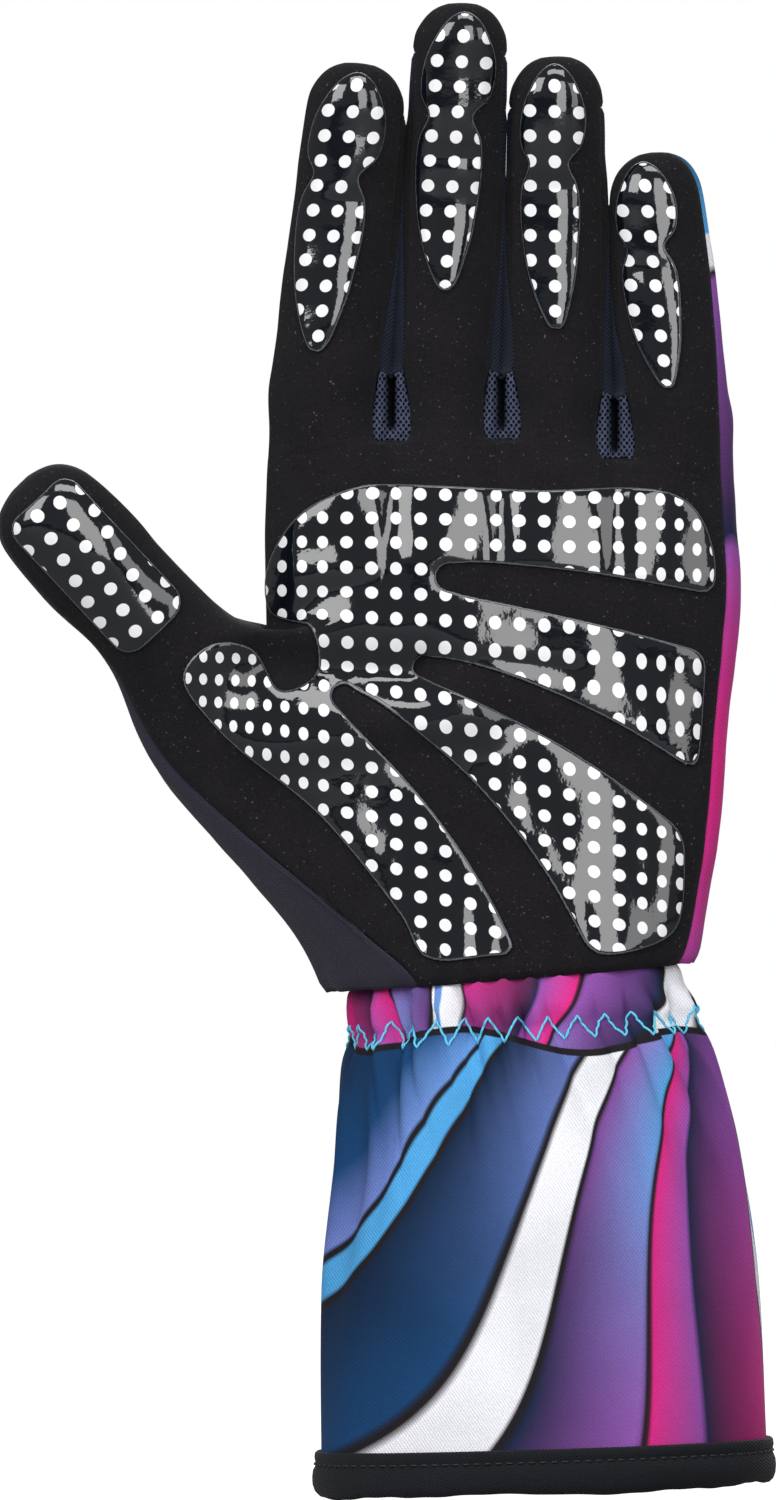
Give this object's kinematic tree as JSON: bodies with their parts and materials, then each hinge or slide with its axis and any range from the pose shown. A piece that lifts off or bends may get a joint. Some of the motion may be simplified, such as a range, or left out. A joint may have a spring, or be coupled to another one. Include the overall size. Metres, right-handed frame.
{
  "type": "karting glove",
  "caption": "Left karting glove in its worn form: suede palm with raised grip pads, printed back, gathered wrist and long flared cuff with a bound hem.",
  "frame": {"origin": "middle of the wrist opening, where the glove sits on a hand", "axes": "+Z towards the fingertips, -Y out of the palm, +X towards the little finger"},
  "size_m": [0.1466, 0.0668, 0.284],
  "materials": {
    "suede": "matt synthetic suede, near black",
    "printed_fabric": "printed stretch fabric in blues, violet, magenta, white and black",
    "side_fabric": "matt dark navy stretch fabric",
    "twill": "dark navy twill",
    "knitted_mesh": "navy knitted mesh",
    "binding_tape": "near black twill tape",
    "silicone": "glossy black silicone with small white dots"
  },
  "bodies": {
    "root": {"palm_panel": "suede", "back_panel": "printed_fabric", "thumb_side_panel": "side_fabric", "side_wall_index_middle": "twill", "side_wall_middle_ring": "twill", "side_wall_ring_little": "twill", "mesh_gusset_index_middle": "knitted_mesh", "mesh_gusset_middle_ring": "knitted_mesh", "mesh_gusset_ring_little": "knitted_mesh", "cuff": "printed_fabric", "hem_binding": "binding_tape", "grip_index": "silicone", "grip_middle": "silicone", "grip_ring": "silicone", "grip_little": "silicone", "grip_thumb": "silicone", "grip_palm": "silicone"}
  },
  "joints": []
}
